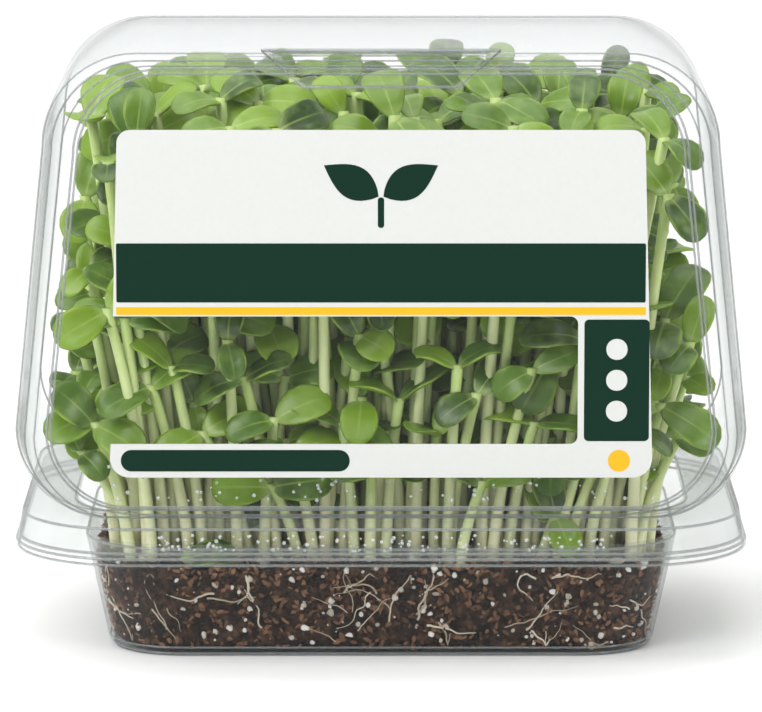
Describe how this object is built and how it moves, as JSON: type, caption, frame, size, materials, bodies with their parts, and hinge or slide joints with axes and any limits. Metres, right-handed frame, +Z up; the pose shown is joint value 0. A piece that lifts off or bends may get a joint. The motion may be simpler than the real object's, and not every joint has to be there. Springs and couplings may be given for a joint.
{
  "type": "sunflower microgreens tray",
  "caption": "Clear shallow tray of soil with living sunflower seedlings, under a tall clear lid with a rounded front, a stepped frame, a top tab and a front label.",
  "frame": {"origin": "bottom centre of the tray's foot, which is the bottom centre of the bounding box", "axes": "+X along the long side, +Y towards the back, +Z up; the label faces -Y"},
  "size_m": [0.19, 0.136, 0.1596],
  "materials": {
    "clear_tray": "clear thin moulded sheet",
    "clear_lid": "clear thin moulded sheet",
    "label_print": "satin printed film, white with dark green and yellow blocks",
    "soil": "moist crumbly peat and bark mix",
    "seedlings": "waxy green leaves on pale stems"
  },
  "bodies": {
    "root": {"tray": "clear_tray", "soil": "soil", "seedlings_01": "seedlings", "seedlings_02": "seedlings", "seedlings_03": "seedlings", "seedlings_04": "seedlings", "seedlings_05": "seedlings", "seedlings_06": "seedlings", "seedlings_07": "seedlings", "seedlings_08": "seedlings", "seedlings_09": "seedlings", "seedlings_10": "seedlings", "seedlings_11": "seedlings", "seedlings_12": "seedlings", "seedlings_13": "seedlings", "seedlings_14": "seedlings", "seedlings_15": "seedlings", "seedlings_16": "seedlings", "seedlings_17": "seedlings", "seedlings_18": "seedlings", "seedlings_19": "seedlings", "seedlings_20": "seedlings", "seedlings_21": "seedlings", "seedlings_22": "seedlings", "seedlings_23": "seedlings", "seedlings_24": "seedlings", "seedlings_25": "seedlings", "seedlings_26": "seedlings", "seedlings_27": "seedlings", "seedlings_28": "seedlings", "seedlings_29": "seedlings", "seedlings_30": "seedlings", "seedlings_31": "seedlings", "seedlings_32": "seedlings", "seedlings_33": "seedlings", "seedlings_34": "seedlings", "lid": "clear_lid", "label": "label_print"}
  },
  "joints": []
}
